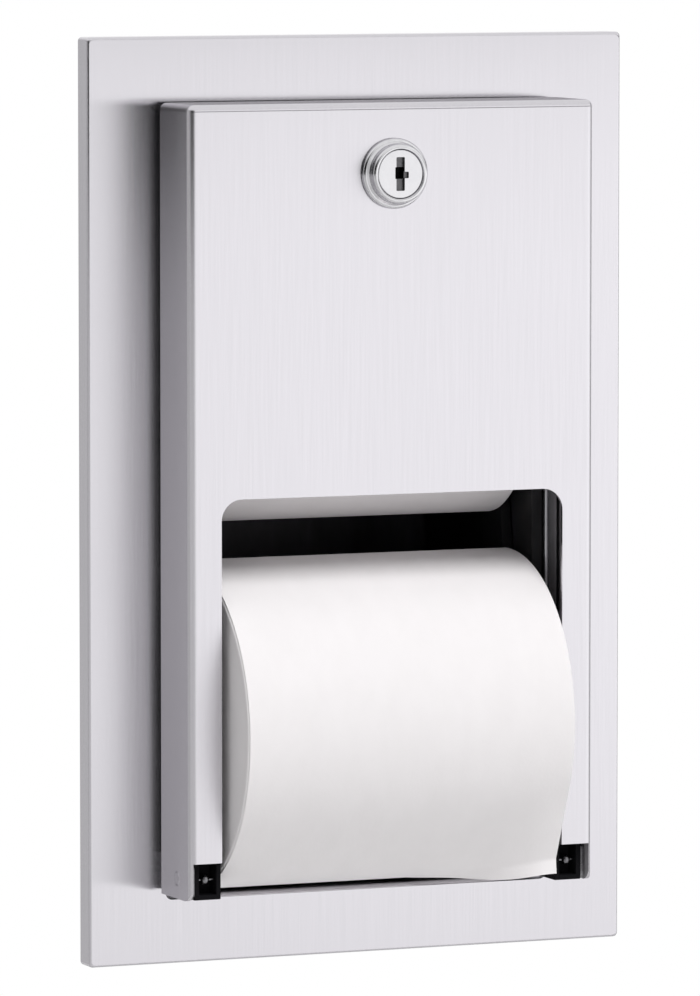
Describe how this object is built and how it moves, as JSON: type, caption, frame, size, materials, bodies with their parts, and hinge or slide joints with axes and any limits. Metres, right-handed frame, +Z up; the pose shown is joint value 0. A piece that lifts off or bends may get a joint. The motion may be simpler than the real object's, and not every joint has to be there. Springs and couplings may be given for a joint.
{
  "type": "double roll toilet paper dispenser",
  "caption": "Recessed two-roll toilet paper dispenser in satin stainless steel: wall flange, cabinet, bottom-hinged lockable door, two rolls on sprung spindles.",
  "frame": {"origin": "on the cabinet's outer back face, on its centre line and level with the middle of the wall flange", "axes": "+Z up, +Y into the wall, so the front faces -Y, and +X to the right seen from the front"},
  "size_m": [0.188, 0.144, 0.3],
  "materials": {
    "satin_stainless": "satin, vertical grain",
    "plain_stainless": "dull mill finish",
    "polished_chrome": "polished",
    "brass": "turned",
    "black_moulding": "fine moulded texture",
    "tissue_paper": "soft tissue",
    "grey_card": "wound card"
  },
  "bodies": {
    "cabinet": {"face_flange": "satin_stainless", "cabinet_shell": "plain_stainless", "latch_keeper": "plain_stainless", "keeper_rivet_left": "plain_stainless", "keeper_rivet_right": "plain_stainless", "left_guide": "black_moulding", "right_guide": "black_moulding", "left_guide_rivet_1": "plain_stainless", "left_guide_rivet_2": "plain_stainless", "left_guide_rivet_3": "plain_stainless", "right_guide_rivet_1": "plain_stainless", "right_guide_rivet_2": "plain_stainless", "right_guide_rivet_3": "plain_stainless", "left_hinge_bracket": "plain_stainless", "right_hinge_bracket": "plain_stainless", "left_bracket_rivet": "plain_stainless", "right_bracket_rivet": "plain_stainless", "left_hinge_pin": "plain_stainless", "right_hinge_pin": "plain_stainless", "left_upper_screw": "plain_stainless", "left_lower_screw": "plain_stainless", "right_upper_screw": "plain_stainless", "right_lower_screw": "plain_stainless", "lower_spindle_sleeve": "black_moulding", "lower_spindle_spring": "plain_stainless"},
    "door": {"door_shell": "satin_stainless", "lock_barrel": "polished_chrome", "lock_nut": "plain_stainless"},
    "lock": {"lock_plug": "polished_chrome", "lock_cam": "plain_stainless", "lock_cam_screw": "brass"},
    "lower_plunger": {"lower_spindle_plunger": "black_moulding"},
    "lower_roll": {"lower_core": "grey_card", "lower_paper_roll": "tissue_paper"},
    "cradle": {"cradle_shaft": "plain_stainless", "left_cradle_arm": "plain_stainless", "right_cradle_arm": "plain_stainless", "left_shaft_clip": "plain_stainless", "right_shaft_clip": "plain_stainless", "cradle_spring": "plain_stainless"},
    "upper_spindle": {"upper_spindle_sleeve": "black_moulding", "upper_spindle_spring": "plain_stainless"},
    "upper_plunger": {"upper_spindle_plunger": "black_moulding"},
    "upper_roll": {"upper_core": "grey_card", "upper_paper_roll": "tissue_paper"}
  },
  "joints": [
    {"name": "door_hinge", "type": "hinge", "parent": "cabinet", "child": "door", "pos_m": [0, -0.116, -0.1198], "axis": [1, 0, 0], "range_deg": [0, 115]},
    {"name": "lock_turn", "type": "hinge", "parent": "door", "child": "lock", "pos_m": [0, -0.1278, 0.1062], "axis": [0, 1, 0], "range_deg": [0, 90]},
    {"name": "lower_plunger_slide", "type": "slide", "parent": "cabinet", "child": "lower_plunger", "axis": [-1, 0, 0], "range_m": [0, 0.005], "stiffness_N_per_m": 400, "springref_m": -0.005, "deforming": ["lower_spindle_spring"]},
    {"name": "lower_roll_spin", "type": "hinge", "parent": "cabinet", "child": "lower_roll", "pos_m": [0, -0.091, -0.0732], "axis": [1, 0, 0], "continuous": true},
    {"name": "cradle_turn", "type": "hinge", "parent": "cabinet", "child": "cradle", "pos_m": [0, -0.009, 0.05], "axis": [1, 0, 0], "range_deg": [0, 8]},
    {"name": "reserve_drop", "type": "slide", "parent": "cabinet", "child": "upper_spindle", "axis": [0, -0.1761, -0.9844], "range_m": [0, 0.008], "stiffness_N_per_m": 200, "springref_m": -0.06},
    {"name": "upper_plunger_slide", "type": "slide", "parent": "upper_spindle", "child": "upper_plunger", "axis": [-1, 0, 0], "range_m": [0, 0.005], "stiffness_N_per_m": 400, "springref_m": -0.005, "deforming": ["upper_spindle_spring"]},
    {"name": "upper_roll_spin", "type": "hinge", "parent": "upper_spindle", "child": "upper_roll", "pos_m": [0, -0.0695, 0.047], "axis": [1, 0, 0], "continuous": true}
  ],
  "couplings": [
    {"joint": "cradle_turn", "follows": "reserve_drop", "rad_per_m": 17.453}
  ]
}
